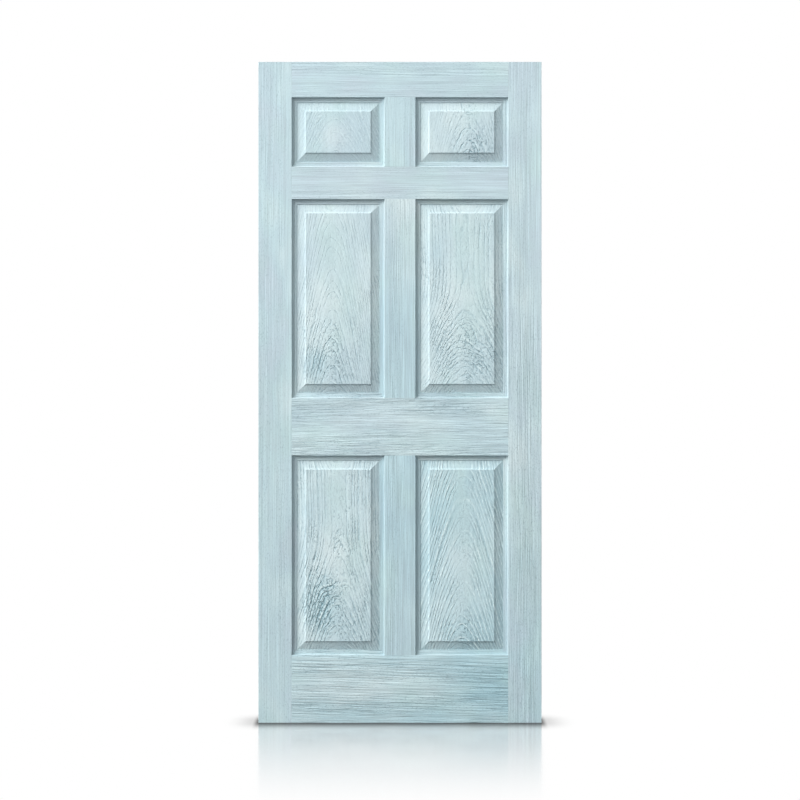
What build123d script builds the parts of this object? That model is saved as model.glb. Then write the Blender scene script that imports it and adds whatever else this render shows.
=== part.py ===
from build123d import *

import os

# Six-panel door slab in solid wood, built with cope-and-stick joints.
# Lengths are in millimetres. X runs across the door, Y through its thickness with the front towards -Y,
# and Z up. The origin is at the middle of the bottom edge.

# Slab
door_width = 914.4
door_height = 2133.6
door_thickness = 35.0
edge_ease = 1.5

# Faces of the framing members, measured between the edges of their mouldings
stile_face = 107.5
mullion_face = 99.4
top_rail_face = 114.0
frieze_rail_face = 105.0
lock_rail_face = 186.0
bottom_rail_face = 217.6

# Heights of the panel openings, from face to face; the lower opening takes what is left
top_opening = 224.0
upper_opening = 642.0

# Moulding along every edge that holds a panel: a quirk, a steep cove, two flats with a step between them,
# and a nose with an eased corner
quirk_depth = 2.0
cove_width = 3.4
cove_sagitta_share = 0.11
upper_flat_width = 4.4
step_width = 0.6
step_drop = 1.6
lower_flat_width = 6.8
nose_height = 2.0
nose_radius = 0.8

# Groove in the nose, which holds the panels and the stub tenons
groove_width = 9.6
groove_depth = 12.0
tenon_end_gap = 0.6

# Raised panels: a tongue in the groove, then a bevel, a shoulder and a field, the same on both faces
panel_thickness = 32.0
tongue_thickness = 9.2
panel_end_gap = 2.5
bevel_run = 25.3
shoulder_run = 4.0
shoulder_rise = 3.8

# Loose tenons across the joints, as thick as the groove is wide, and the mortises that they are glued into
rail_tenon_length = 110.0
rail_tenon_width = 60.0
mullion_tenon_length = 70.0
mullion_tenon_width = 50.0
tenon_chamfer = 1.5
mortise_clearance = 0.1
mortise_end_gap = 1.5

# How many loose tenons hold each end of a member
top_rail_tenon_count = 1
frieze_rail_tenon_count = 1
lock_rail_tenon_count = 2
bottom_rail_tenon_count = 2
mullion_tenon_count = 1

# Sizes that follow
moulding_width = cove_width + upper_flat_width + step_width + lower_flat_width + nose_radius
rail_faces = top_rail_face + frieze_rail_face + lock_rail_face + bottom_rail_face
lower_opening = door_height - rail_faces - top_opening - upper_opening
rail_half_length = door_width / 2 - stile_face
opening_width = rail_half_length - mullion_face / 2
stile_middle = door_width / 2 - stile_face / 2
panel_middle = mullion_face / 2 + opening_width / 2

# Floor of a groove, measured from the face edge out into the opening
groove_floor = moulding_width - groove_depth

# Heights of the face edges, from the bottom of the door to its top
lower_opening_low = bottom_rail_face
lock_rail_low = lower_opening_low + lower_opening
upper_opening_low = lock_rail_low + lock_rail_face
frieze_rail_low = upper_opening_low + upper_opening
top_opening_low = frieze_rail_low + frieze_rail_face
top_rail_low = top_opening_low + top_opening

# Name, lowest face edge, face and loose tenons of each rail, from the bottom up
rails = (
    ("bottom_rail", 0, bottom_rail_face, bottom_rail_tenon_count),
    ("lock_rail", lock_rail_low, lock_rail_face, lock_rail_tenon_count),
    ("frieze_rail", frieze_rail_low, frieze_rail_face, frieze_rail_tenon_count),
    ("top_rail", top_rail_low, top_rail_face, top_rail_tenon_count),
)

# Name, lowest edge and height of each row of openings, from the bottom up
rows = (
    ("lower", lower_opening_low, lower_opening),
    ("upper", upper_opening_low, upper_opening),
    ("top", top_opening_low, top_opening),
)
sides = (("left", -1), ("right", 1))


def member_section(face, mouldings, groove):
    """Section of a framing member about the middle of its face, with the face along local X.

    A member has one moulding, on its +X edge, or two. Its groove is cut from the nose.
    """
    edge = face / 2
    nose = edge + moulding_width
    lower_flat = groove_width / 2 + nose_height
    upper_flat = lower_flat + step_drop
    cove_start = Vector(edge, door_thickness / 2 - quirk_depth)
    cove_end = Vector(edge + cove_width, upper_flat)
    step_start = Vector(cove_end.X + upper_flat_width, upper_flat)
    step_end = Vector(step_start.X + step_width, lower_flat)
    cove_sagitta = cove_sagitta_share * (cove_end - cove_start).length
    noses = [(nose, 0), (-nose, 0)][:mouldings]
    with BuildSketch() as section:
        Rectangle(face, door_thickness)
        with BuildLine():
            Polyline((nose, lower_flat - nose_radius), (nose, 0), (edge, 0), cove_start)
            SagittaArc(cove_start, cove_end, -cove_sagitta)
            Polyline(cove_end, step_start, step_end, (nose - nose_radius, lower_flat))
            CenterArc((nose - nose_radius, lower_flat - nose_radius), nose_radius, 90, -90)
        make_face()
        mirror(about=Plane.XZ)
        if mouldings > 1:
            mirror(about=Plane.YZ)
        with Locations(*noses):
            Rectangle(2 * groove, groove_width, mode=Mode.SUBTRACT)
    return section.sketch


def stile_plane(side, height):
    """Section plane of a stile, with local X towards the panels and local Z up."""
    return Plane(origin=(side * stile_middle, 0, height), x_dir=(-side, 0, 0), z_dir=(0, 0, 1))


def rail_plane(low, face, up):
    """Section plane of a rail in the middle of the door, with local X up, or down where up is -1."""
    return Plane(origin=(0, 0, low + face / 2), x_dir=(0, 0, up), z_dir=(1, 0, 0))


def spread(count, width):
    """Places spread evenly over a width, about its middle."""
    return [(index - (count - 1) / 2) * width / count for index in range(count)]


def rail_joints(side, low, face, count):
    """Planes of the loose tenons between a rail and one stile, at the floor of the stile's groove.

    Local Z runs along a tenon and local X across its width.
    """
    seat = side * (rail_half_length - groove_floor)
    heights = [low + face / 2 + place for place in spread(count, face)]
    return [Plane(origin=(seat, 0, height), x_dir=(0, 0, 1), z_dir=(1, 0, 0)) for height in heights]


def mullion_joints(low, height):
    """Planes of the loose tenons at both ends of a mullion, at the floors of the rails' grooves."""
    seats = (low + groove_floor, low + height - groove_floor)
    places = spread(mullion_tenon_count, mullion_face)
    return [Plane.XY.offset(seat).shift_origin((place, 0, seat)) for seat in seats for place in places]


def cut_mortises(planes, width, length):
    """Cuts a joint's mortises in the current piece, equally deep on both sides of each plane."""
    with Locations(*planes):
        Box(
            width + 2 * mortise_clearance,
            groove_width,
            length + 2 * mortise_end_gap,
            mode=Mode.SUBTRACT,
        )


def add_tenons(planes, width, length):
    """Adds a joint's loose tenons to the current piece."""
    with Locations(*planes):
        Box(width, groove_width - 2 * mortise_clearance, length)


def raising_cut():
    """What is cut from both faces along a panel's edge, with local X running in from the edge."""
    tongue_end = groove_depth - panel_end_gap
    bevel_end = tongue_end + bevel_run
    field_start = bevel_end + shoulder_run
    with BuildSketch() as cut:
        with BuildLine():
            Polyline(
                (0, panel_thickness / 2),
                (0, tongue_thickness / 2),
                (tongue_end, tongue_thickness / 2),
                (bevel_end, panel_thickness / 2 - shoulder_rise),
                (field_start, panel_thickness / 2),
                close=True,
            )
        make_face()
        mirror(about=Plane.XZ)
    return cut.sketch


def finish(piece, name):
    """Labels a finished piece and writes it out."""
    piece.part.label = name
    export_step(piece.part, f"parts/{name}.step")


os.makedirs("parts", exist_ok=True)
cope_groove = groove_depth - tenon_end_gap

# Stiles: one moulded section over the whole height, with the outer edges eased
for side_name, side in sides:
    with BuildPart() as stile:
        with BuildSketch(stile_plane(side, 0)):
            add(member_section(stile_face, 1, groove_depth))
        extrude(amount=door_height)
        outer_edges = stile.edges().filter_by(Axis.Z).sort_by(Axis.X)
        fillet(outer_edges[-2:] if side > 0 else outer_edges[:2], radius=edge_ease)
        for name, low, face, count in rails:
            cut_mortises(rail_joints(side, low, face, count), rail_tenon_width, rail_tenon_length)
    finish(stile, f"{side_name}_stile")

# Rails: run between the stiles' face edges, with ends coped over the stiles' mouldings
for index, (name, low, face, count) in enumerate(rails):
    rows_beside = rows[max(index - 1, 0) : index + 1]
    opening_above = index < len(rows)
    with BuildPart() as rail:
        with BuildSketch(rail_plane(low, face, 1 if opening_above else -1)):
            add(member_section(face, len(rows_beside), groove_depth))
        extrude(amount=rail_half_length, both=True)
        for side_name, side in sides:
            with BuildSketch(stile_plane(side, low - moulding_width)):
                add(member_section(stile_face, 1, cope_groove))
        extrude(amount=face + 2 * moulding_width, mode=Mode.SUBTRACT)
        for side_name, side in sides:
            cut_mortises(rail_joints(side, low, face, count), rail_tenon_width, rail_tenon_length)
        for row_name, row_low, height in rows_beside:
            cut_mortises(mullion_joints(row_low, height), mullion_tenon_width, mullion_tenon_length)
    finish(rail, name)

    with BuildPart() as tenons:
        for side_name, side in sides:
            add_tenons(rail_joints(side, low, face, count), rail_tenon_width, rail_tenon_length)
        chamfer(tenons.faces().filter_by(Axis.X).edges(), length=tenon_chamfer)
    finish(tenons, f"{name}_loose_tenons")

# Mullions: stand between the rails' face edges, with ends coped over the rails' mouldings
for index, (row_name, low, height) in enumerate(rows):
    with BuildPart() as mullion:
        with BuildSketch(Plane.XY.offset(low)):
            add(member_section(mullion_face, 2, groove_depth))
        extrude(amount=height)
        for name, rail_low, face, count in rails[index : index + 2]:
            with BuildSketch(rail_plane(rail_low, face, 1)):
                add(member_section(face, 2, cope_groove))
        extrude(amount=mullion_face / 2 + moulding_width, both=True, mode=Mode.SUBTRACT)
        cut_mortises(mullion_joints(low, height), mullion_tenon_width, mullion_tenon_length)
    finish(mullion, f"{row_name}_mullion")

    with BuildPart() as tenons:
        add_tenons(mullion_joints(low, height), mullion_tenon_width, mullion_tenon_length)
        chamfer(tenons.faces().filter_by(Axis.Z).edges(), length=tenon_chamfer)
    finish(tenons, f"{row_name}_mullion_loose_tenons")

# Raised panels: boards that float in the grooves, with all four edges run past the raising cutter
panel_width = opening_width - 2 * groove_floor - 2 * panel_end_gap
for row_name, low, height in rows:
    panel_height = height - 2 * groove_floor - 2 * panel_end_gap
    for side_name, side in sides:
        middle = Vector(side * panel_middle, 0, low + height / 2)
        with BuildPart() as panel:
            with BuildSketch(Plane(origin=middle, x_dir=(1, 0, 0), z_dir=(0, -1, 0))):
                Rectangle(panel_width, panel_height)
            extrude(amount=panel_thickness / 2, both=True)
            for inward, reach, run in (
                (Vector(1, 0, 0), panel_width, panel_height),
                (Vector(-1, 0, 0), panel_width, panel_height),
                (Vector(0, 0, 1), panel_height, panel_width),
                (Vector(0, 0, -1), panel_height, panel_width),
            ):
                edge = middle - inward * (reach / 2)
                with BuildSketch(Plane(origin=edge, x_dir=inward, z_dir=inward.cross(Vector(0, 1, 0)))):
                    add(raising_cut())
                extrude(amount=run, both=True, mode=Mode.SUBTRACT)
        finish(panel, f"{row_name}_{side_name}_panel")
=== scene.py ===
"""Dresses a six-panel door slab: eased boards, a pale blue wash over open grain, and a white studio stage."""

import math
from typing import NamedTuple

import bmesh
import bpy
from bpy.props import FloatProperty, FloatVectorProperty, PointerProperty
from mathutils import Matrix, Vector


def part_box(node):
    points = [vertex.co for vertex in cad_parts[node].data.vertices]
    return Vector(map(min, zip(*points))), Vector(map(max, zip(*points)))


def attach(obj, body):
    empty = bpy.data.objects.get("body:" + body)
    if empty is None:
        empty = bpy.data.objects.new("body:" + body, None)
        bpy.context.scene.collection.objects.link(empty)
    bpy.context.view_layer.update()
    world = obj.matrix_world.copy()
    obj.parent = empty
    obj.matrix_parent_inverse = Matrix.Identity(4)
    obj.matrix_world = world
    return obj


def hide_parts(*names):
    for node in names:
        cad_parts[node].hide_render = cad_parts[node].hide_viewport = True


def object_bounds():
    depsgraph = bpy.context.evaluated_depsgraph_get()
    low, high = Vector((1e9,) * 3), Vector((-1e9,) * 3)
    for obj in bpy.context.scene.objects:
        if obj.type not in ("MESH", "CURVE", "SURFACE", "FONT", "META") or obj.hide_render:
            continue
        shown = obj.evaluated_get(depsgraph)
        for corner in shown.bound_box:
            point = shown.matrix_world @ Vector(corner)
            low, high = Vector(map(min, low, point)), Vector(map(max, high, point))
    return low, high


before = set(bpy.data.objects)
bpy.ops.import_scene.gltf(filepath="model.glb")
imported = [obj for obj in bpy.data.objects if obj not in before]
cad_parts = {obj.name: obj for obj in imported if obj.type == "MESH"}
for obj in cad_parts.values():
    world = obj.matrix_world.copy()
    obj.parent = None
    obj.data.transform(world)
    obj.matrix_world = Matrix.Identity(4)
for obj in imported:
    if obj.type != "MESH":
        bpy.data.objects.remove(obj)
cad_low, cad_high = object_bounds()

bl_info = {
    "name": "Washed Panel Door",
    "version": (1, 0, 0),
    "blender": (4, 5, 0),
    "location": "3D View > Sidebar > Door",
    "description": "Dresses the boards of a panel door in washed wood and sets a studio stage round it",
    "category": "Object",
}

# Lengths are in metres. The patterns inside the materials count in millimetres.
MILLIMETRES = 1000.0
IN_MILLIMETRES = (MILLIMETRES, MILLIMETRES, MILLIMETRES)

# Limits that tell the faces and edges of a board apart
WELD = 1e-6
IN_FACE_PLANE = 2e-5
FLAT_ANGLE = math.radians(0.5)
ARRIS_ANGLE = math.radians(30)
SHARP_ANGLE = math.radians(14)
BROAD_TO_NARROW_SHARE = 12.0

# How squarely a face looks to the front or back: least on steep sides, and almost fully on flats
STEEP_LIMITS = (0.0005, 0.72)
SLOPE_LIMIT = 0.99

# Painted shade, laid as a darker wash: how much of it goes on slopes and sunk flats, from what depth flats
# are sunk, and down to what depth steep sides get it in full
SLOPE_SHADE_SHARE = 0.4
SUNK_SHADE_SHARE = 0.3
SUNK_DEPTH = 0.001
STEEP_SHADE_DEPTH = 0.0105

# Facets across a rubbed arris
EASE_SEGMENTS = 2

# A height that no board reaches
FAR = 9.0


class Figure(NamedTuple):
    """How a board was cut from its log, and how its grain took the wash."""

    # Place of the pith: from the middle of the board, as a share of its width, and behind the slab's middle
    across_share: float
    depth: float
    # Where the rings begin along the board, and how much a ring widens along it, per unit of length
    start: float
    taper: float
    # Width of a ring, and how far the rings stray
    ring: float
    wander: float
    # How strongly dark ring lines, light crests between them, strokes along the rings and long streaks show
    figure: float
    crest: float
    stroke: float
    streak: float
    # Length of the dashes that ring lines, strokes and streaks break up into
    dash: float
    # How much deeper than the rest the board took the wash, and how much of the lavender cast it has
    tone: float
    cool: float
    # How strongly the rings show before the pith, against their strength at its sides
    heart: float = 1.0
    # Height in the board from which the rings run straight up
    bend: float = FAR


class Patch(NamedTuple):
    """A spot on a board, by its middle across and up the door and its reach across and up."""

    across: float
    up: float
    reach_across: float
    reach_up: float
    # How much deeper the wash and how much denser the strokes are in the spot
    tone: float = 0.0
    stroke: float = 0.0


class Knot(NamedTuple):
    """A knot just below the surface, which pushes the rings up round it."""

    across: float
    up: float
    reach_across: float
    reach_up: float
    rise: float


class Marks(NamedTuple):
    """Marks in the wood: spans and detail of their noise, and the limits between which they fade in."""

    spans: tuple
    detail: float
    limits: tuple


# The cut of each board
STILES = {
    "left_stile": Figure(
        across_share=2.6, depth=0.14, start=0.0, taper=0.010, ring=0.0058, wander=0.004,
        figure=0.16, crest=0.16, stroke=0.22, streak=0.85, dash=0.220, tone=0.05, cool=0.8,
    ),
    "right_stile": Figure(
        across_share=-2.9, depth=0.12, start=0.3, taper=0.012, ring=0.0058, wander=0.004,
        figure=0.22, crest=0.22, stroke=0.26, streak=1.3, dash=0.250, tone=-0.04, cool=0.7,
    ),
}
RAILS = {
    "top_rail": Figure(
        across_share=1.9, depth=0.10, start=0.1, taper=0.015, ring=0.0058, wander=0.004,
        figure=0.25, crest=0.22, stroke=0.30, streak=1.0, dash=0.200, tone=0.05, cool=0.8,
    ),
    "frieze_rail": Figure(
        across_share=-2.2, depth=0.11, start=0.2, taper=0.012, ring=0.0058, wander=0.004,
        figure=0.25, crest=0.22, stroke=0.30, streak=1.1, dash=0.180, tone=-0.04, cool=0.7,
    ),
    "lock_rail": Figure(
        across_share=-0.9, depth=0.09, start=0.0, taper=0.020, ring=0.0064, wander=0.004,
        figure=0.58, crest=0.42, stroke=0.75, streak=1.5, dash=0.085, tone=-0.02, cool=0.4,
    ),
    "bottom_rail": Figure(
        across_share=0.75, depth=0.07, start=0.4, taper=0.030, ring=0.0085, wander=0.003,
        figure=0.80, crest=0.50, stroke=0.80, streak=1.9, dash=0.140, tone=-0.04, cool=0.0,
    ),
}
MULLIONS = {
    "top_mullion": Figure(
        across_share=2.4, depth=0.13, start=0.0, taper=0.012, ring=0.0058, wander=0.004,
        figure=0.20, crest=0.20, stroke=0.25, streak=0.8, dash=0.150, tone=0.09, cool=0.8,
    ),
    "upper_mullion": Figure(
        across_share=-2.1, depth=0.12, start=0.1, taper=0.010, ring=0.0058, wander=0.004,
        figure=0.30, crest=0.30, stroke=0.35, streak=1.3, dash=0.180, tone=0.15, cool=0.4,
    ),
    "lower_mullion": Figure(
        across_share=2.2, depth=0.10, start=0.2, taper=0.012, ring=0.0058, wander=0.004,
        figure=0.30, crest=0.30, stroke=0.35, streak=1.3, dash=0.180, tone=0.21, cool=0.4,
    ),
}
PANELS = {
    "top_left_panel": Figure(
        across_share=-0.03, depth=0.070, start=0.02, taper=0.30, ring=0.0075, wander=0.014,
        figure=0.25, crest=0.80, stroke=0.30, streak=0.5, dash=0.017, tone=0.02, cool=0.5,
    ),
    "top_right_panel": Figure(
        across_share=0.080, depth=0.060, start=0.00, taper=0.20, ring=0.0075, wander=0.010,
        figure=0.45, crest=0.45, stroke=0.60, streak=0.5, heart=1.6, dash=0.017, tone=-0.14, cool=0.4,
    ),
    "upper_left_panel": Figure(
        across_share=-0.067, depth=0.060, start=0.01, taper=0.13, ring=0.0060, wander=0.012,
        figure=0.70, crest=0.80, stroke=0.60, streak=0.6, heart=1.5, dash=0.017, tone=-0.17, cool=0.4,
    ),
    "upper_right_panel": Figure(
        across_share=0.047, depth=0.070, start=0.03, taper=0.36, ring=0.0080, wander=0.018, bend=0.30,
        figure=0.75, crest=1.10, stroke=0.80, streak=0.6, heart=0.9, dash=0.017, tone=-0.16, cool=0.2,
    ),
    "lower_left_panel": Figure(
        across_share=0.0, depth=0.050, start=0.02, taper=0.24, ring=0.0080, wander=0.018, bend=0.34,
        figure=1.05, crest=1.50, stroke=0.90, streak=0.7, heart=0.6, dash=0.017, tone=-0.16, cool=0.2,
    ),
    "lower_right_panel": Figure(
        across_share=0.012, depth=0.040, start=0.00, taper=0.24, ring=0.0082, wander=0.014,
        figure=0.85, crest=2.40, stroke=0.50, streak=0.6, heart=0.35, dash=0.017, tone=0.06, cool=0.0,
    ),
}

PATCHES = {
    "left_stile": (Patch(-0.403, 0.600, 0.300, 1.100, stroke=0.7),),
    "right_stile": (
        Patch(0.403, 0.080, 0.300, 0.800, tone=0.26, stroke=0.8),
        Patch(0.403, 0.900, 0.300, 0.850, tone=-0.08, stroke=1.0),
    ),
    "frieze_rail": (Patch(-0.090, 1.760, 0.200, 0.200, tone=-0.14),),
    "lock_rail": (Patch(-0.090, 0.940, 0.300, 0.180, tone=-0.22),),
    "bottom_rail": (
        Patch(0.240, 0.050, 0.450, 0.350, tone=0.26),
        Patch(-0.150, 0.130, 0.220, 0.100, tone=-0.22),
    ),
    "upper_mullion": (Patch(0.000, 1.720, 0.300, 0.450, tone=-0.34),),
    "lower_mullion": (Patch(0.000, 0.280, 0.300, 0.350, tone=-0.12),),
    "top_left_panel": (Patch(-0.206, 1.892, 0.075, 0.075, tone=-0.35),),
    "top_right_panel": (
        Patch(0.236, 1.855, 0.085, 0.090, tone=0.02, stroke=1.6),
        Patch(0.120, 1.880, 0.090, 0.200, stroke=-0.9),
    ),
    "upper_left_panel": (
        Patch(-0.275, 1.160, 0.060, 0.080, tone=0.30, stroke=0.8),
        Patch(-0.215, 1.170, 0.090, 0.170, tone=0.06, stroke=1.1),
        Patch(-0.206, 1.550, 0.200, 0.280, stroke=-0.7),
    ),
    "upper_right_panel": (
        Patch(0.225, 1.200, 0.150, 0.160, tone=0.02, stroke=0.7),
        Patch(0.206, 1.560, 0.200, 0.260, stroke=-0.6),
    ),
    "lower_left_panel": (
        Patch(-0.252, 0.380, 0.090, 0.140, tone=0.40, stroke=2.0),
        Patch(-0.206, 0.740, 0.200, 0.200, stroke=-0.5),
    ),
    "lower_right_panel": (Patch(0.205, 0.285, 0.090, 0.110, stroke=1.5),),
}

KNOTS = {
    "lower_left_panel": Knot(-0.209, 0.444, 0.055, 0.060, 0.016),
    "upper_right_panel": Knot(0.225, 1.215, 0.070, 0.070, 0.010),
}

# How far from the middle of a spot its strength stays whole, as a share of its reach
SPOT_CORE_SHARE = 0.1

# Inputs of the grain: how the board was cut, which of its faces are worn or get painted shade, and where its
# spots lie
FIGURE_INPUTS = (
    "Taper",
    "Ring",
    "Wander",
    "Figure",
    "Crest",
    "Stroke",
    "Streak",
    "Tone",
    "Cool",
    "Bend",
    "Heart",
    "Dash",
)
FACE_INPUTS = ("Arris", "Painted_Shade")
SPOT_INPUTS = ("Patch Tone", "Patch Stroke", "Knot Rise")
TENONS = [name for name in sorted(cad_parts) if name.endswith("_loose_tenons")]

# The value that noise swings about
NOISE_MIDDLE = 0.5

# Noise that leads the rings astray, in long bends and short wavers
STRAY_SPANS = (85.0, 85.0, 290.0)
WAVER_SPANS = (17.0, 17.0, 70.0)
WAVER_SHARE = 0.22

# The length over which rings turn straight up, and how fast and how far their widths change over the years
BEND_LENGTH = 120.0
YEAR_CHANGE = 0.37
YEAR_SWAY = 1.6

# Slope of the rings against the face, below which their lines grow no wider
FULL_SLOPE = 0.6

# Strength of the dark line and of the light crest by their place in a ring
LINE_SHARES = ((0.0, 0.0), (0.12, 1.0), (0.22, 0.9), (0.36, 0.0), (1.0, 0.0))
CREST_SHARES = ((0.0, 0.0), (0.34, 0.0), (0.50, 1.0), (0.68, 0.0), (1.0, 0.0))

# Marks along the rings, with spans in rings, in millimetres across and in dashes or specks along the board
DASHES = Marks((0.60, 12.0, 1.0), 2.0, (0.42, 0.60))
STROKES = Marks((0.36, 8.0, 0.7), 1.5, (0.54, 0.64))
PORES = Marks((0.32, 5.0, 0.42), 1.0, (0.58, 0.67))
SPECK_LENGTH = 17.0

# Where marks crowd, and streaks from fine to broad, with spans in millimetres and in dashes along the board
CROWDS = Marks((50.0, 50.0, 5.88), 1.0, (0.32, 0.66))
STREAK_SPANS = ((2.6, 2.6, 0.7), (4.6, 4.6, 2.0), (11.0, 11.0, 4.5))
STREAK_SHARES = (0.42, 0.30, 0.28)
STREAK_DETAIL = 2.0

# What is left of ring lines between their dashes, and of lines and pores where they don't crowd
GAP_SHARE = 0.25
SPARSE_LINE_SHARE = 0.5
SPARSE_PORE_SHARE = 0.4

# Least strength of pores, how far spots bring out the rings before the pith, and where its sides begin
LEAST_PORE_SHARE = 0.5
SPOT_HEART_SHARE = 0.5
HEART_LIMITS = (8.0, 60.0)

# Patches of the wash, how much thinner it is all over, and the limits of its lavender and green casts
PATCH_SPANS = (130.0, 130.0, 230.0)
PATCH_DETAIL = 2.0
THINNING = 0.08
LAVENDER_LIMITS = (0.36, 0.66)
GREEN_LIMITS = (0.45, 0.70)
GREEN_SHARE = 0.4

# How far streaks shade the wash, and how much each layer over it covers; the first layer is painted shade on
# the mouldings' steep sides, the slopes and sunk flats
STREAK_SHADE_SHARE = 0.95
PAINTED_SHADE_SHARE = 0.35
CREST_SHARE = 0.55
LINE_SHARE = 0.70
STROKE_SHARE = 0.36
PORE_SHARE = 0.50
RUBBED_SHARE = 0.3

# Gloss of the washed wood, and how much fine streaks, swelling rings and pores count in its relief
PLAIN_ROUGHNESS = 0.50
LINE_ROUGHNESS = 0.12
STREAK_ROUGHNESS = 0.16
WASH_SPECULAR = 0.35
RIDGE_RELIEF_SHARE = 0.5
SWELL_RELIEF_SHARE = 0.15
PORE_RELIEF_SHARE = 0.25

# Bare hardwood: its tone and flecks along the tenons, how much they darken it, and its gloss
TONE_SPANS = (40.0, 4.0, 4.0)
TONE_DETAIL = 3.0
FLECKS = Marks((5.0, 0.8, 0.8), 2.0, (0.58, 0.72))
TONE_SHARE = 0.45
FLECK_SHARE = 0.4
FLECK_DEPTH = 0.0001
BARE_ROUGHNESS = 0.55
TONE_ROUGHNESS = 0.2
BARE_SPECULAR = 0.5

# Shade of the floor at the door's foot, how much less it is past the door's two sides, and how soon
CONTACT_SHADE = 0.80
SIDE_EASING = 0.5
SIDE_REACH = 0.02

# Gloss of the floor, what it throws back on the door, and the colour of the surround
FLOOR_ROUGHNESS = 0.13
BOUNCE_GREY = (0.08, 0.08, 0.08)
WHITE = (1.0, 1.0, 1.0)

# Width of the camera's sensor, in millimetres as its focal length is
SENSOR_WIDTH = 36.0


# Settings


def colour_setting(name, description, default):
    """A colour that a user can change."""
    return FloatVectorProperty(
        name=name,
        description=description,
        default=default,
        min=0.0,
        max=1.0,
        size=3,
        subtype="COLOR",
    )


def length_setting(name, description, default, **limits):
    """A length that a user can change."""
    return FloatProperty(
        name=name,
        description=description,
        default=default,
        subtype="DISTANCE",
        unit="LENGTH",
        **limits,
    )


class DoorBoardSettings(bpy.types.PropertyGroup):
    """Sizes of the details that the boards get."""

    arris_ease: length_setting(
        "Arris Ease",
        "How far the sharp edges of the boards are rubbed down",
        0.0005,
        min=0.0001,
    )


class DoorFinishSettings(bpy.types.PropertyGroup):
    """Colours and relief of the washed wood."""

    wash_pale: colour_setting(
        "Pale Wash",
        "Colour of the wash where it is thin",
        (0.700, 0.815, 0.835),
    )
    wash_deep: colour_setting(
        "Deep Wash",
        "Colour of the wash where it lies thick in the wood",
        (0.312, 0.550, 0.632),
    )
    ring_line: colour_setting(
        "Ring Lines",
        "Colour of the open early wood",
        (0.232, 0.388, 0.445),
    )
    pore: colour_setting(
        "Pores",
        "Colour deep in the open pores",
        (0.150, 0.268, 0.315),
    )
    lavender: colour_setting(
        "Lavender Cast",
        "Colour of the cooler patches of the wash",
        (0.570, 0.670, 0.735),
    )
    green: colour_setting(
        "Green Cast",
        "Colour of the warmer patches of the wash",
        (0.520, 0.710, 0.700),
    )
    crest: colour_setting(
        "Grain Crests",
        "Colour of the hard late wood that stands out of the wash",
        (0.780, 0.940, 0.960),
    )
    # Painted shade: a darker, greyer wash laid where shade falls in the mouldings, on their steep sides, the
    # panels' slopes and the sunk flats
    painted_shade: colour_setting(
        "Pooled Wash",
        "Colour of the wash that gathered on the steep sides of the mouldings and on the slopes",
        (0.300, 0.355, 0.375),
    )
    rubbed: colour_setting(
        "Rubbed Arris",
        "Colour of the edges where the wash is rubbed thin",
        (0.760, 0.880, 0.900),
    )
    relief: length_setting(
        "Relief",
        "Depth of the brushed grain",
        0.0010,
        min=0.0,
    )
    bare_wood: colour_setting(
        "Bare Hardwood",
        "Colour of the unfinished loose tenons",
        (0.560, 0.380, 0.220),
    )
    bare_fleck: colour_setting(
        "Hardwood Flecks",
        "Colour of the short flecks in the loose tenons",
        (0.330, 0.190, 0.095),
    )


class DoorStageSettings(bpy.types.PropertyGroup):
    """Camera, lamps and floor."""

    camera_distance: length_setting(
        "Camera Distance",
        "From the camera to the front of the slab",
        5.4,
    )
    camera_height: length_setting(
        "Camera Height",
        "Height of the camera above the floor",
        1.2,
    )
    view_width: length_setting(
        "View Width",
        "Width that the picture takes in at the front of the slab",
        2.583,
    )
    view_middle: length_setting(
        "View Middle",
        "Height of the middle of the picture at the front of the slab",
        1.042,
    )
    key_place: FloatVectorProperty(
        name="Key Lamp Place",
        description="Where the large soft lamp stands, up to the left in front of the door",
        default=(-12.2, -7.7, 11.8),
        size=3,
        subtype="TRANSLATION",
    )
    key_size: length_setting(
        "Key Lamp Size",
        "Side of the large soft lamp",
        12.6,
    )
    key_power: FloatProperty(
        name="Key Lamp Power",
        description="Power of the large soft lamp",
        default=4900.0,
        unit="POWER",
    )
    ambient: FloatProperty(
        name="Ambient Light",
        description="Strength of the light that comes from all round",
        default=0.57,
    )
    floor_size: length_setting(
        "Floor Size",
        "Side of the square floor",
        24.0,
    )
    contact_reach: length_setting(
        "Contact Shadow Reach",
        "How far from the door the floor still shows its shadow",
        0.14,
    )
    mirror_reach: length_setting(
        "Reflection Reach",
        "How far from the door the floor still mirrors it",
        1.05,
    )
    mirror_share: FloatProperty(
        name="Reflection Share",
        description="How much of the door the floor mirrors at its foot",
        default=0.72,
        min=0.0,
        max=1.0,
        subtype="FACTOR",
    )


# Materials


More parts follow.
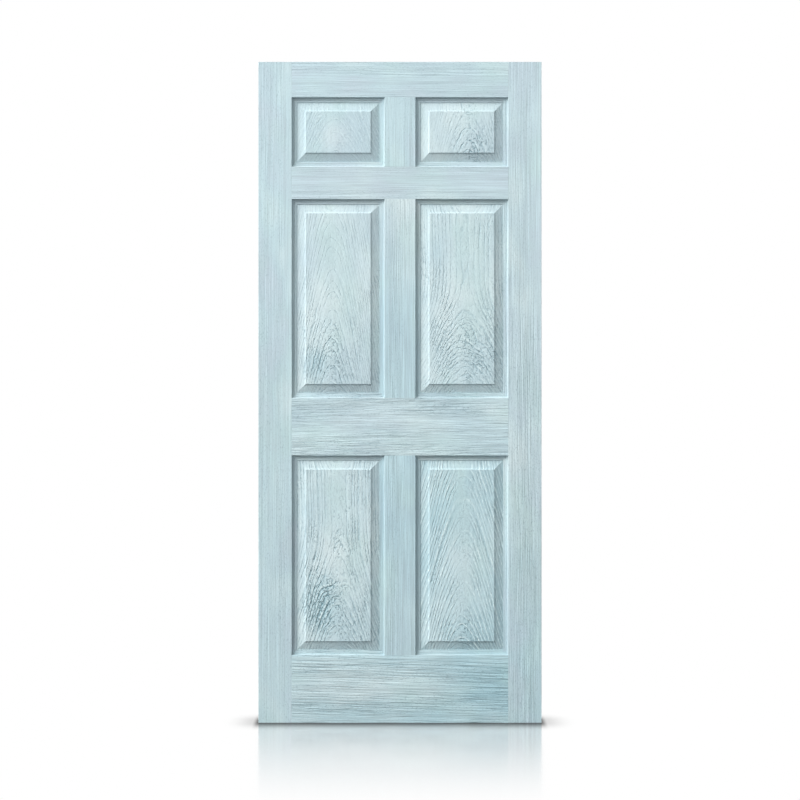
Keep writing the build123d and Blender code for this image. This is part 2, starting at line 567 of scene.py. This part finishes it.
class Wiring:
    """Adds nodes to a node tree, each with its links and plain values."""

    def __init__(self, tree):
        self.tree = tree

    def node(self, kind, inputs, **settings):
        """A node with some of its inputs linked or set, by name or number."""
        made = self.tree.nodes.new(kind)
        for name, value in settings.items():
            setattr(made, name, value)
        for key, value in inputs.items():
            if isinstance(value, bpy.types.NodeSocket):
                self.tree.links.new(value, made.inputs[key])
            else:
                made.inputs[key].default_value = value
        return made

    def math(self, operation, *values):
        """The result of one operation on numbers."""
        return self.node("ShaderNodeMath", dict(enumerate(values)), operation=operation).outputs[0]

    def product(self, *values):
        """All the values multiplied together."""
        result = values[0]
        for value in values[1:]:
            result = self.math("MULTIPLY", result, value)
        return result

    def diagonal(self, first, second):
        """The distance that two distances square to each other make."""
        squares = [self.math("POWER", value, 2.0) for value in (first, second)]
        return self.math("SQRT", self.math("ADD", *squares))

    def at_least(self, share, value):
        """Goes from a share to 1 while the value goes from 0 to 1."""
        return self.math("MULTIPLY_ADD", value, 1.0 - share, share)

    def vector(self, operation, *values):
        """The result of one operation on vectors."""
        return self.node("ShaderNodeVectorMath", dict(enumerate(values)), operation=operation).outputs[0]

    def scaled(self, vector, factor):
        """A vector or a colour times a number."""
        return self.node("ShaderNodeVectorMath", {0: vector, "Scale": factor}, operation="SCALE").outputs[0]

    def joined(self, *parts):
        """A vector of three numbers."""
        return self.node("ShaderNodeCombineXYZ", dict(enumerate(parts))).outputs[0]

    def noise(self, place, spans, detail=1.0):
        """Noise whose features are about as long as the spans, as a value and as a colour."""
        stretched = self.vector("DIVIDE", place, spans)
        made = self.node("ShaderNodeTexNoise", {"Vector": stretched, "Scale": 1.0, "Detail": detail})
        return made.outputs["Fac"], made.outputs["Color"]

    def rise(self, value, low, high):
        """Goes smoothly from 0 to 1 while the value goes from low to high."""
        inputs = {"Value": value, "From Min": low, "From Max": high}
        return self.node("ShaderNodeMapRange", inputs, interpolation_type="SMOOTHSTEP").outputs["Result"]

    def marks(self, place, kind):
        """Marks of one kind, which go from 0 beside a mark to 1 in it."""
        return self.rise(self.noise(place, kind.spans, kind.detail)[0], *kind.limits)

    def ramp(self, value, stops):
        """A curve through stops of place and height."""
        made = self.node("ShaderNodeValToRGB", {"Fac": value})
        made.color_ramp.interpolation = "EASE"
        while len(made.color_ramp.elements) < len(stops):
            made.color_ramp.elements.new(1.0)
        for element, (place, height) in zip(made.color_ramp.elements, stops):
            element.position = place
            element.color = (height, height, height, 1.0)
        return made.outputs["Color"]

    def blend(self, share, first, second):
        """One colour laid over another by a share."""
        inputs = {0: share, 6: opaque(first), 7: opaque(second)}
        return self.node("ShaderNodeMix", inputs, data_type="RGBA").outputs[2]


def opaque(colour):
    """A colour with full alpha, or a socket as it is."""
    if isinstance(colour, bpy.types.NodeSocket):
        return colour
    return (*colour, 1.0)


def blank_material(name):
    """A material without nodes, its wiring, and the place on the object."""
    material = bpy.data.materials.new(name)
    material.use_nodes = True
    material.node_tree.nodes.clear()
    wiring = Wiring(material.node_tree)
    return material, wiring, wiring.node("ShaderNodeTexCoord", {}).outputs["Object"]


def wood_surface(wiring, colour, roughness, specular, height, relief):
    """Ends a wood's material with its colour, gloss and relief."""
    bump = wiring.node("ShaderNodeBump", {"Height": height, "Distance": relief, "Strength": 1.0}).outputs[0]
    inputs = {"Base Color": colour, "Roughness": roughness, "Normal": bump, "Specular IOR Level": specular}
    shader = wiring.node("ShaderNodeBsdfPrincipled", inputs).outputs[0]
    wiring.node("ShaderNodeOutputMaterial", {"Surface": shader})


def led_astray(wiring, given):
    """The place across, through and along the board, led astray a little as its rings are."""
    place = given["Place"]
    stray = wiring.noise(place, STRAY_SPANS)[1]
    waver = wiring.noise(place, WAVER_SPANS)[1]
    strays = wiring.vector("ADD", stray, wiring.scaled(waver, WAVER_SHARE))
    middle = NOISE_MIDDLE * (1.0 + WAVER_SHARE)
    centred = wiring.vector("SUBTRACT", strays, (middle, middle, middle))
    moved = wiring.vector("ADD", place, wiring.scaled(centred, given["Wander"]))
    return wiring.node("ShaderNodeSeparateXYZ", {0: moved}).outputs


def growth_rings(wiring, given, parts):
    """How many rings lie between a place and the pith, and the line, crest and swell of the ring there."""
    radius = wiring.diagonal(parts[0], parts[1])
    bent = wiring.math("SMOOTH_MIN", parts[2], given["Bend"], BEND_LENGTH)
    leaning = wiring.math("MULTIPLY_ADD", bent, given["Taper"], radius)
    distance = wiring.math("ADD", leaning, given["Knot Rise"])
    rings = wiring.math("DIVIDE", distance, given["Ring"])
    inputs = {"W": rings, "Scale": YEAR_CHANGE, "Detail": 1.0}
    years = wiring.node("ShaderNodeTexNoise", inputs, noise_dimensions="1D").outputs["Fac"]
    uneven = wiring.math("ADD", rings, wiring.math("MULTIPLY", years, YEAR_SWAY))
    wave = wiring.math("COSINE", wiring.math("MULTIPLY", uneven, 2.0 * math.pi))
    slope = wiring.diagonal(wiring.math("DIVIDE", parts[0], radius), given["Taper"])
    narrowing = wiring.math("MAXIMUM", wiring.math("DIVIDE", FULL_SLOPE, slope), 1.0)
    season = wiring.math("FRACT", uneven)
    early = wiring.math("MINIMUM", wiring.math("MULTIPLY", season, narrowing), 1.0)
    return rings, wiring.ramp(early, LINE_SHARES), wiring.ramp(early, CREST_SHARES), wave


def grain_marks(wiring, given, parts, dashes, lengthwise):
    """Ring lines in dashes, crests between them, their swell, and short strokes and pores along them."""
    rings, line, crest, wave = growth_rings(wiring, given, parts)
    along = wiring.joined(rings, parts[0], dashes)
    speckled = wiring.joined(rings, parts[0], wiring.math("DIVIDE", parts[2], SPECK_LENGTH))
    crowd = wiring.marks(lengthwise, CROWDS)
    crowded = wiring.math("MAXIMUM", wiring.math("ADD", crowd, given["Patch Stroke"]), 0.0)

    broken = wiring.at_least(GAP_SHARE, wiring.marks(along, DASHES))
    aside = wiring.rise(wiring.math("ABSOLUTE", parts[0]), *HEART_LIMITS)
    sides_more = wiring.math("SUBTRACT", 1.0, given["Heart"])
    hearted = wiring.math("MULTIPLY_ADD", aside, sides_more, given["Heart"])
    in_spot = wiring.math("MULTIPLY", given["Patch Stroke"], SPOT_HEART_SHARE)
    shown = wiring.math("MAXIMUM", hearted, in_spot)
    share = wiring.product(shown, wiring.at_least(SPARSE_LINE_SHARE, crowded), broken)
    lines = wiring.product(share, given["Figure"], line)
    crests = wiring.product(share, given["Crest"], crest)
    swell = wiring.product(share, given["Crest"], wave)

    strokes = wiring.product(wiring.marks(along, STROKES), crowded, given["Stroke"])
    pitted = wiring.at_least(SPARSE_PORE_SHARE, crowded)
    strength = wiring.math("MAXIMUM", given["Stroke"], LEAST_PORE_SHARE)
    pores = wiring.product(wiring.marks(speckled, PORES), pitted, strength)
    return lines, crests, swell, strokes, pores


def patchy_wash(wiring, given, finish):
    """The wash by itself: pale or deep, and lavender or green in patches."""
    patch, casts = wiring.noise(given["Place"], PATCH_SPANS, PATCH_DETAIL)
    cast = wiring.node("ShaderNodeSeparateColor", {0: casts}).outputs
    depth = wiring.math("SUBTRACT", patch, THINNING)
    toned = wiring.math("ADD", wiring.math("ADD", depth, given["Tone"]), given["Patch Tone"])
    thick = wiring.math("MINIMUM", wiring.math("MAXIMUM", toned, 0.0), 1.0)
    cool = wiring.math("MULTIPLY", wiring.rise(cast[0], *LAVENDER_LIMITS), given["Cool"])
    warm = wiring.math("MULTIPLY", wiring.rise(cast[1], *GREEN_LIMITS), GREEN_SHARE)
    wash = wiring.blend(thick, finish.wash_pale, finish.wash_deep)
    cooled = wiring.blend(cool, wash, finish.lavender)
    return wiring.blend(warm, cooled, finish.green)


def washed_grain(finish):
    """The node group that turns a place in a board into the colour, gloss and relief of washed open grain."""
    tree = bpy.data.node_groups.new("washed_grain", "ShaderNodeTree")
    tree.interface.new_socket("Place", in_out="INPUT", socket_type="NodeSocketVector")
    for name in FIGURE_INPUTS + FACE_INPUTS + SPOT_INPUTS:
        tree.interface.new_socket(name, in_out="INPUT", socket_type="NodeSocketFloat")
    tree.interface.new_socket("Color", in_out="OUTPUT", socket_type="NodeSocketColor")
    for name in ("Roughness", "Height"):
        tree.interface.new_socket(name, in_out="OUTPUT", socket_type="NodeSocketFloat")
    wiring = Wiring(tree)
    given = tree.nodes.new("NodeGroupInput").outputs

    # Rings and the marks along them
    parts = led_astray(wiring, given)
    dashes = wiring.math("DIVIDE", parts[2], given["Dash"])
    lengthwise = wiring.joined(parts[0], parts[1], dashes)
    lines, crests, swell, strokes, pores = grain_marks(wiring, given, parts, dashes, lengthwise)

    # Streaks along the grain
    streaks = [wiring.noise(lengthwise, spans, STREAK_DETAIL)[0] for spans in STREAK_SPANS]
    streak = 0.0
    for noise, share in zip(streaks, STREAK_SHARES):
        streak = wiring.math("MULTIPLY_ADD", noise, share, streak)
    swing = wiring.math("MULTIPLY", wiring.math("SUBTRACT", streak, NOISE_MIDDLE), given["Streak"])
    shade = wiring.math("MULTIPLY_ADD", swing, -STREAK_SHADE_SHARE, 1.0)

    # Layers over the wash
    colour = wiring.scaled(patchy_wash(wiring, given, finish), shade)
    layers = (
        # Painted shade in the mouldings, laid as a darker wash
        (given["Painted_Shade"], PAINTED_SHADE_SHARE, finish.painted_shade),
        (crests, CREST_SHARE, finish.crest),
        (lines, LINE_SHARE, finish.ring_line),
        (strokes, STROKE_SHARE, finish.ring_line),
        (pores, PORE_SHARE, finish.pore),
        (given["Arris"], RUBBED_SHARE, finish.rubbed),
    )
    for strength, share, layer in layers:
        colour = wiring.blend(wiring.math("MULTIPLY", strength, share), colour, layer)

    # Gloss and relief
    dulled = wiring.math("MULTIPLY_ADD", lines, LINE_ROUGHNESS, PLAIN_ROUGHNESS)
    roughness = wiring.math("MULTIPLY_ADD", streak, STREAK_ROUGHNESS, dulled)
    ridges = wiring.math("MULTIPLY", wiring.math("SUBTRACT", streaks[0], NOISE_MIDDLE), given["Streak"])
    ridged = wiring.math("MULTIPLY", ridges, RIDGE_RELIEF_SHARE)
    raised = wiring.math("MULTIPLY_ADD", swell, -SWELL_RELIEF_SHARE, ridged)
    pitted = wiring.math("MULTIPLY", pores, PORE_RELIEF_SHARE)
    dents = wiring.math("ADD", wiring.math("ADD", lines, strokes), pitted)
    height = wiring.math("SUBTRACT", raised, dents)
    wiring.node("NodeGroupOutput", {"Color": colour, "Roughness": roughness, "Height": height})
    return tree


def spot(wiring, coordinates, there):
    """A share that is 1 in the middle of a spot on the door and 0 beyond its reach."""
    middle = (there.across, 0.0, there.up)
    reach = (there.reach_across, 1.0, there.reach_up)
    away = wiring.vector("DIVIDE", wiring.vector("SUBTRACT", coordinates, middle), reach)
    flat = wiring.vector("MULTIPLY", away, (1.0, 0.0, 1.0))
    length = wiring.node("ShaderNodeVectorMath", {0: flat}, operation="LENGTH").outputs["Value"]
    return wiring.math("SUBTRACT", 1.0, wiring.rise(length, SPOT_CORE_SHARE, 1.0))


def board_material(name, group, figure, lying, relief):
    """The washed wood of one board, with its grain along the board and its rings about its own pith."""
    low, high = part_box(name)
    middle = (low + high) / 2
    if lying:
        across = middle.z + figure.across_share * (high.z - low.z)
        pith = Vector((across, figure.depth, figure.start))
    else:
        across = middle.x + figure.across_share * (high.x - low.x)
        pith = Vector((across, figure.depth, low.z + figure.start))
    material, wiring, coordinates = blank_material(f"wash_{name}")
    turn = (0.0, math.pi / 2 if lying else 0.0, 0.0)
    from_pith = {"Location": -MILLIMETRES * pith, "Rotation": turn, "Scale": IN_MILLIMETRES}
    inputs = {
        "Place": wiring.node("ShaderNodeMapping", {"Vector": coordinates, **from_pith}).outputs[0],
        "Taper": figure.taper,
        "Ring": figure.ring * MILLIMETRES,
        "Wander": figure.wander * MILLIMETRES,
        "Figure": figure.figure,
        "Crest": figure.crest,
        "Stroke": figure.stroke,
        "Streak": figure.streak,
        "Tone": figure.tone,
        "Cool": figure.cool,
        "Bend": (figure.bend - figure.start) * MILLIMETRES,
        "Heart": figure.heart,
        "Dash": figure.dash * MILLIMETRES,
    }
    for key in FACE_INPUTS:
        inputs[key] = wiring.node("ShaderNodeAttribute", {}, attribute_name=key.lower()).outputs["Fac"]
    for patch in PATCHES.get(name, ()):
        there = spot(wiring, coordinates, patch)
        for key, strength in (("Patch Tone", patch.tone), ("Patch Stroke", patch.stroke)):
            inputs[key] = wiring.math("MULTIPLY_ADD", there, strength, inputs.get(key, 0.0))
    if name in KNOTS:
        there = spot(wiring, coordinates, KNOTS[name])
        inputs["Knot Rise"] = wiring.math("MULTIPLY", there, KNOTS[name].rise * MILLIMETRES)
    grain = wiring.node("ShaderNodeGroup", inputs, node_tree=group).outputs
    wood_surface(wiring, grain["Color"], grain["Roughness"], WASH_SPECULAR, grain["Height"], relief)
    return material


def bare_hardwood(finish):
    """The unfinished hardwood of the loose tenons, with short flecks along their length."""
    material, wiring, coordinates = blank_material("bare_hardwood")
    place = wiring.node("ShaderNodeMapping", {"Vector": coordinates, "Scale": IN_MILLIMETRES}).outputs[0]
    tone = wiring.noise(place, TONE_SPANS, TONE_DETAIL)[0]
    fleck = wiring.marks(place, FLECKS)
    flecked = wiring.math("MULTIPLY", fleck, FLECK_SHARE)
    darker = wiring.math("MULTIPLY_ADD", tone, TONE_SHARE, flecked)
    colour = wiring.blend(darker, finish.bare_wood, finish.bare_fleck)
    roughness = wiring.math("MULTIPLY_ADD", tone, TONE_ROUGHNESS, BARE_ROUGHNESS)
    wood_surface(wiring, colour, roughness, BARE_SPECULAR, fleck, FLECK_DEPTH)
    return material


# Boards


def is_arris(edge, face_depth):
    """Whether an edge is a sharp outer corner in the front or back face, away from the slab's two ends."""
    if not edge.is_manifold or not edge.is_convex or edge.calc_face_angle() < ARRIS_ANGLE:
        return False
    in_face = all(abs(abs(corner.co.y) - face_depth) < IN_FACE_PLANE for corner in edge.verts)
    heights = [corner.co.z for corner in edge.verts]
    at_end = max(heights) < cad_low.z + IN_FACE_PLANE or min(heights) > cad_high.z - IN_FACE_PLANE
    return in_face and not at_end


def painted_shade_share(face, face_depth):
    """How much painted shade, laid as a darker wash, a face gets: most on steep sides, some on slopes and on
    the mouldings' flats.
    """
    facing = abs(face.normal.y)
    depth = face_depth - abs(face.calc_center_median().y)
    if STEEP_LIMITS[0] < facing < STEEP_LIMITS[1] and depth < STEEP_SHADE_DEPTH:
        return 1.0
    if STEEP_LIMITS[1] <= facing < SLOPE_LIMIT:
        return SLOPE_SHADE_SHARE
    if facing >= SLOPE_LIMIT and depth > SUNK_DEPTH:
        return SUNK_SHADE_SHARE
    return 0.0


def is_sharp(edge):
    """Whether the light breaks at an edge: at a corner, and where a broad flat meets a narrow facet."""
    if not edge.is_manifold:
        return True
    angle = edge.calc_face_angle()
    areas = sorted(face.calc_area() for face in edge.link_faces)
    uneven = areas[1] > BROAD_TO_NARROW_SHARE * areas[0]
    return angle > SHARP_ANGLE or (uneven and angle > FLAT_ANGLE)


def eased_board(name, ease, material):
    """A copy of a board with welded faces and its arrises rubbed down, standing for the plain board."""
    face_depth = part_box(name)[1].y
    shape = bmesh.new()
    shape.from_mesh(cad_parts[name].data)
    bmesh.ops.remove_doubles(shape, verts=shape.verts, dist=WELD)
    bmesh.ops.dissolve_limit(shape, angle_limit=FLAT_ANGLE, verts=shape.verts, edges=shape.edges)
    rubbed = shape.faces.layers.float.new("arris")
    # Share of painted shade on each face, laid as a darker wash
    painted_shade = shape.faces.layers.float.new("painted_shade")
    arrises = [edge for edge in shape.edges if is_arris(edge, face_depth)]
    eased = bmesh.ops.bevel(
        shape,
        geom=arrises,
        affect="EDGES",
        offset=ease,
        offset_type="OFFSET",
        segments=EASE_SEGMENTS,
        profile=0.5,
        material=-1,
        clamp_overlap=False,
    )
    # Each face gets its share of painted shade; the rubbed arrises get none
    for face in shape.faces:
        face[painted_shade] = painted_shade_share(face, face_depth)
        face.smooth = True
        face.material_index = 0
    for face in eased["faces"]:
        face[rubbed] = 1.0
        face[painted_shade] = 0.0
    for edge in shape.edges:
        edge.smooth = not is_sharp(edge)
    mesh = bpy.data.meshes.new(f"eased_{name}")
    shape.to_mesh(mesh)
    shape.free()
    mesh.materials.append(material)
    board = bpy.data.objects.new(f"eased_{name}", mesh)
    bpy.context.scene.collection.objects.link(board)
    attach(board, "root")
    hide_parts(name)


def dress_boards(context, boards, lying=False):
    """Dresses a group of like boards, each with its own cut of the washed wood."""
    scene = context.scene
    group = bpy.data.node_groups.get("washed_grain") or washed_grain(scene.door_finish)
    for name, figure in boards.items():
        material = board_material(name, group, figure, lying, scene.door_finish.relief)
        eased_board(name, scene.door_boards.arris_ease, material)


class DOOR_OT_stiles(bpy.types.Operator):
    """Dress the two stiles"""

    bl_idname = "door.stiles"
    bl_label = "Stiles"
    bl_options = {"REGISTER", "UNDO"}

    def execute(self, context):
        dress_boards(context, STILES)
        return {"FINISHED"}


class DOOR_OT_rails(bpy.types.Operator):
    """Dress the four rails"""

    bl_idname = "door.rails"
    bl_label = "Rails"
    bl_options = {"REGISTER", "UNDO"}

    def execute(self, context):
        dress_boards(context, RAILS, lying=True)
        return {"FINISHED"}


class DOOR_OT_mullions(bpy.types.Operator):
    """Dress the three mullions"""

    bl_idname = "door.mullions"
    bl_label = "Mullions"
    bl_options = {"REGISTER", "UNDO"}

    def execute(self, context):
        dress_boards(context, MULLIONS)
        return {"FINISHED"}


class DOOR_OT_panels(bpy.types.Operator):
    """Dress the six raised panels"""

    bl_idname = "door.panels"
    bl_label = "Raised Panels"
    bl_options = {"REGISTER", "UNDO"}

    def execute(self, context):
        dress_boards(context, PANELS)
        return {"FINISHED"}


class DOOR_OT_tenons(bpy.types.Operator):
    """Give the loose tenons their bare hardwood"""

    bl_idname = "door.tenons"
    bl_label = "Loose Tenons"
    bl_options = {"REGISTER", "UNDO"}

    def execute(self, context):
        material = bare_hardwood(context.scene.door_finish)
        for name in TENONS:
            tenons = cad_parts[name]
            tenons.data.materials.clear()
            tenons.data.materials.append(material)
        return {"FINISHED"}


# Stage


def white_where_seen(wiring):
    """A share that is 1 where the camera sees a surface, straight, mirrored or through glass."""
    path = wiring.node("ShaderNodeLightPath", {}).outputs
    straight_or_mirrored = wiring.math("MAXIMUM", path["Is Camera Ray"], path["Is Glossy Ray"])
    return wiring.math("MAXIMUM", straight_or_mirrored, path["Is Transmission Ray"])


def beyond(wiring, coordinate, half):
    """How far a place lies past the door, which reaches half its size to either side."""
    return wiring.math("MAXIMUM", wiring.math("SUBTRACT", wiring.math("ABSOLUTE", coordinate), half), 0.0)


def make_floor_material(stage):
    """White ground that keeps a contact shadow round the door's foot and mirrors it faintly."""
    material, wiring, coordinates = blank_material("studio_floor")
    parts = wiring.node("ShaderNodeSeparateXYZ", {0: coordinates}).outputs
    beside = beyond(wiring, parts[0], cad_high.x)
    away = wiring.diagonal(beside, beyond(wiring, parts[1], cad_high.y))
    near = wiring.math("SUBTRACT", 1.0, wiring.rise(away, 0.0, stage.contact_reach))
    eased = wiring.math("MULTIPLY", wiring.rise(beside, 0.0, SIDE_REACH), SIDE_EASING)
    darkest = wiring.math("SUBTRACT", CONTACT_SHADE, eased)
    shadow = wiring.math("MULTIPLY", wiring.math("POWER", near, 2.0), darkest)
    lightness = wiring.math("SUBTRACT", 1.0, shadow)
    shaded = wiring.node("ShaderNodeCombineColor", {0: lightness, 1: lightness, 2: lightness}).outputs[0]
    fade = wiring.math("SUBTRACT", 1.0, wiring.rise(away, 0.0, stage.mirror_reach))
    mirror_share = wiring.math("MULTIPLY", fade, stage.mirror_share)
    ground = wiring.node("ShaderNodeEmission", {"Color": shaded, "Strength": 1.0}).outputs[0]
    mirror = wiring.node("ShaderNodeBsdfGlossy", {"Color": shaded, "Roughness": FLOOR_ROUGHNESS}).outputs[0]
    bounce = wiring.node("ShaderNodeBsdfDiffuse", {"Color": opaque(BOUNCE_GREY)}).outputs[0]
    polished = wiring.node("ShaderNodeMixShader", {0: mirror_share, 1: ground, 2: mirror}).outputs[0]
    seen = white_where_seen(wiring)
    surface = wiring.node("ShaderNodeMixShader", {0: seen, 1: bounce, 2: polished}).outputs[0]
    wiring.node("ShaderNodeOutputMaterial", {"Surface": surface})
    return material


def make_floor(stage):
    """A square floor under the door."""
    shape = bmesh.new()
    bmesh.ops.create_grid(shape, x_segments=1, y_segments=1, size=stage.floor_size / 2)
    bmesh.ops.translate(shape, verts=shape.verts, vec=(0.0, 0.0, cad_low.z))
    mesh = bpy.data.meshes.new("studio_floor")
    shape.to_mesh(mesh)
    shape.free()
    mesh.materials.append(make_floor_material(stage))
    floor = bpy.data.objects.new("studio_floor", mesh)
    bpy.context.scene.collection.objects.link(floor)


def make_world(scene, stage):
    """A white surround where it is seen, and a soft even light everywhere else."""
    world = bpy.data.worlds.new("studio_surround")
    scene.world = world
    world.use_nodes = True
    world.node_tree.nodes.clear()
    wiring = Wiring(world.node_tree)
    seen = white_where_seen(wiring)
    strength = wiring.math("MULTIPLY_ADD", seen, 1.0 - stage.ambient, stage.ambient)
    surround = wiring.node("ShaderNodeBackground", {"Color": opaque(WHITE), "Strength": strength})
    wiring.node("ShaderNodeOutputWorld", {"Surface": surround.outputs[0]})


def make_lamp(scene, stage, name, place):
    """A large soft lamp that points at the middle of the door."""
    data = bpy.data.lights.new(name, "AREA")
    data.shape = "SQUARE"
    data.size = stage.key_size
    data.energy = stage.key_power
    lamp = bpy.data.objects.new(name, data)
    lamp.location = place
    lamp.visible_camera = False
    aim = (cad_low + cad_high) / 2 - place
    lamp.rotation_euler = aim.to_track_quat("-Z", "Y").to_euler()
    scene.collection.objects.link(lamp)


def make_camera(scene, stage):
    """A level camera square on to the front of the door."""
    data = bpy.data.cameras.new("camera")
    data.sensor_width = SENSOR_WIDTH
    data.lens = data.sensor_width * stage.camera_distance / stage.view_width
    data.shift_y = (stage.view_middle - stage.camera_height) / stage.view_width
    camera = bpy.data.objects.new("camera", data)
    camera.location = (0.0, cad_low.y - stage.camera_distance, stage.camera_height)
    camera.rotation_euler = (math.pi / 2, 0.0, 0.0)
    scene.collection.objects.link(camera)
    scene.camera = camera


class DOOR_OT_stage(bpy.types.Operator):
    """Set the floor, surround, lamp and camera"""

    bl_idname = "door.stage"
    bl_label = "Stage"
    bl_options = {"REGISTER", "UNDO"}

    def execute(self, context):
        scene = context.scene
        stage = scene.door_stage
        scene.view_settings.view_transform = "Standard"
        make_floor(stage)
        make_world(scene, stage)
        before = Vector(stage.key_place)
        behind = Vector((-before.x, -before.y, before.z))
        make_lamp(scene, stage, "key_lamp", before)
        make_lamp(scene, stage, "rear_lamp", behind)
        make_camera(scene, stage)
        return {"FINISHED"}


class DOOR_PT_sidebar(bpy.types.Panel):
    """The door's pieces and settings"""

    bl_idname = "DOOR_PT_sidebar"
    bl_label = "Washed Panel Door"
    bl_space_type = "VIEW_3D"
    bl_region_type = "UI"
    bl_category = "Door"

    def draw(self, context):
        scene = context.scene
        for settings in (scene.door_boards, scene.door_finish, scene.door_stage):
            box = self.layout.box()
            for name in settings.__annotations__:
                box.prop(settings, name)
        column = self.layout.column(align=True)
        for operator in OPERATORS:
            column.operator(operator.bl_idname)


SETTINGS = {
    "door_boards": DoorBoardSettings,
    "door_finish": DoorFinishSettings,
    "door_stage": DoorStageSettings,
}
OPERATORS = (DOOR_OT_stiles, DOOR_OT_rails, DOOR_OT_mullions, DOOR_OT_panels, DOOR_OT_tenons, DOOR_OT_stage)


def register():
    for name, settings in SETTINGS.items():
        bpy.utils.register_class(settings)
        setattr(bpy.types.Scene, name, PointerProperty(type=settings))
    for operator in OPERATORS:
        bpy.utils.register_class(operator)
    bpy.utils.register_class(DOOR_PT_sidebar)


def unregister():
    bpy.utils.unregister_class(DOOR_PT_sidebar)
    for operator in reversed(OPERATORS):
        bpy.utils.unregister_class(operator)
    for name, settings in SETTINGS.items():
        delattr(bpy.types.Scene, name)
        bpy.utils.unregister_class(settings)


def main():
    """Registers the add-on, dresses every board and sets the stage."""
    register()
    bpy.ops.door.stiles()
    bpy.ops.door.rails()
    bpy.ops.door.mullions()
    bpy.ops.door.panels()
    bpy.ops.door.tenons()
    bpy.ops.door.stage()


if __name__ == "__main__":
    main()
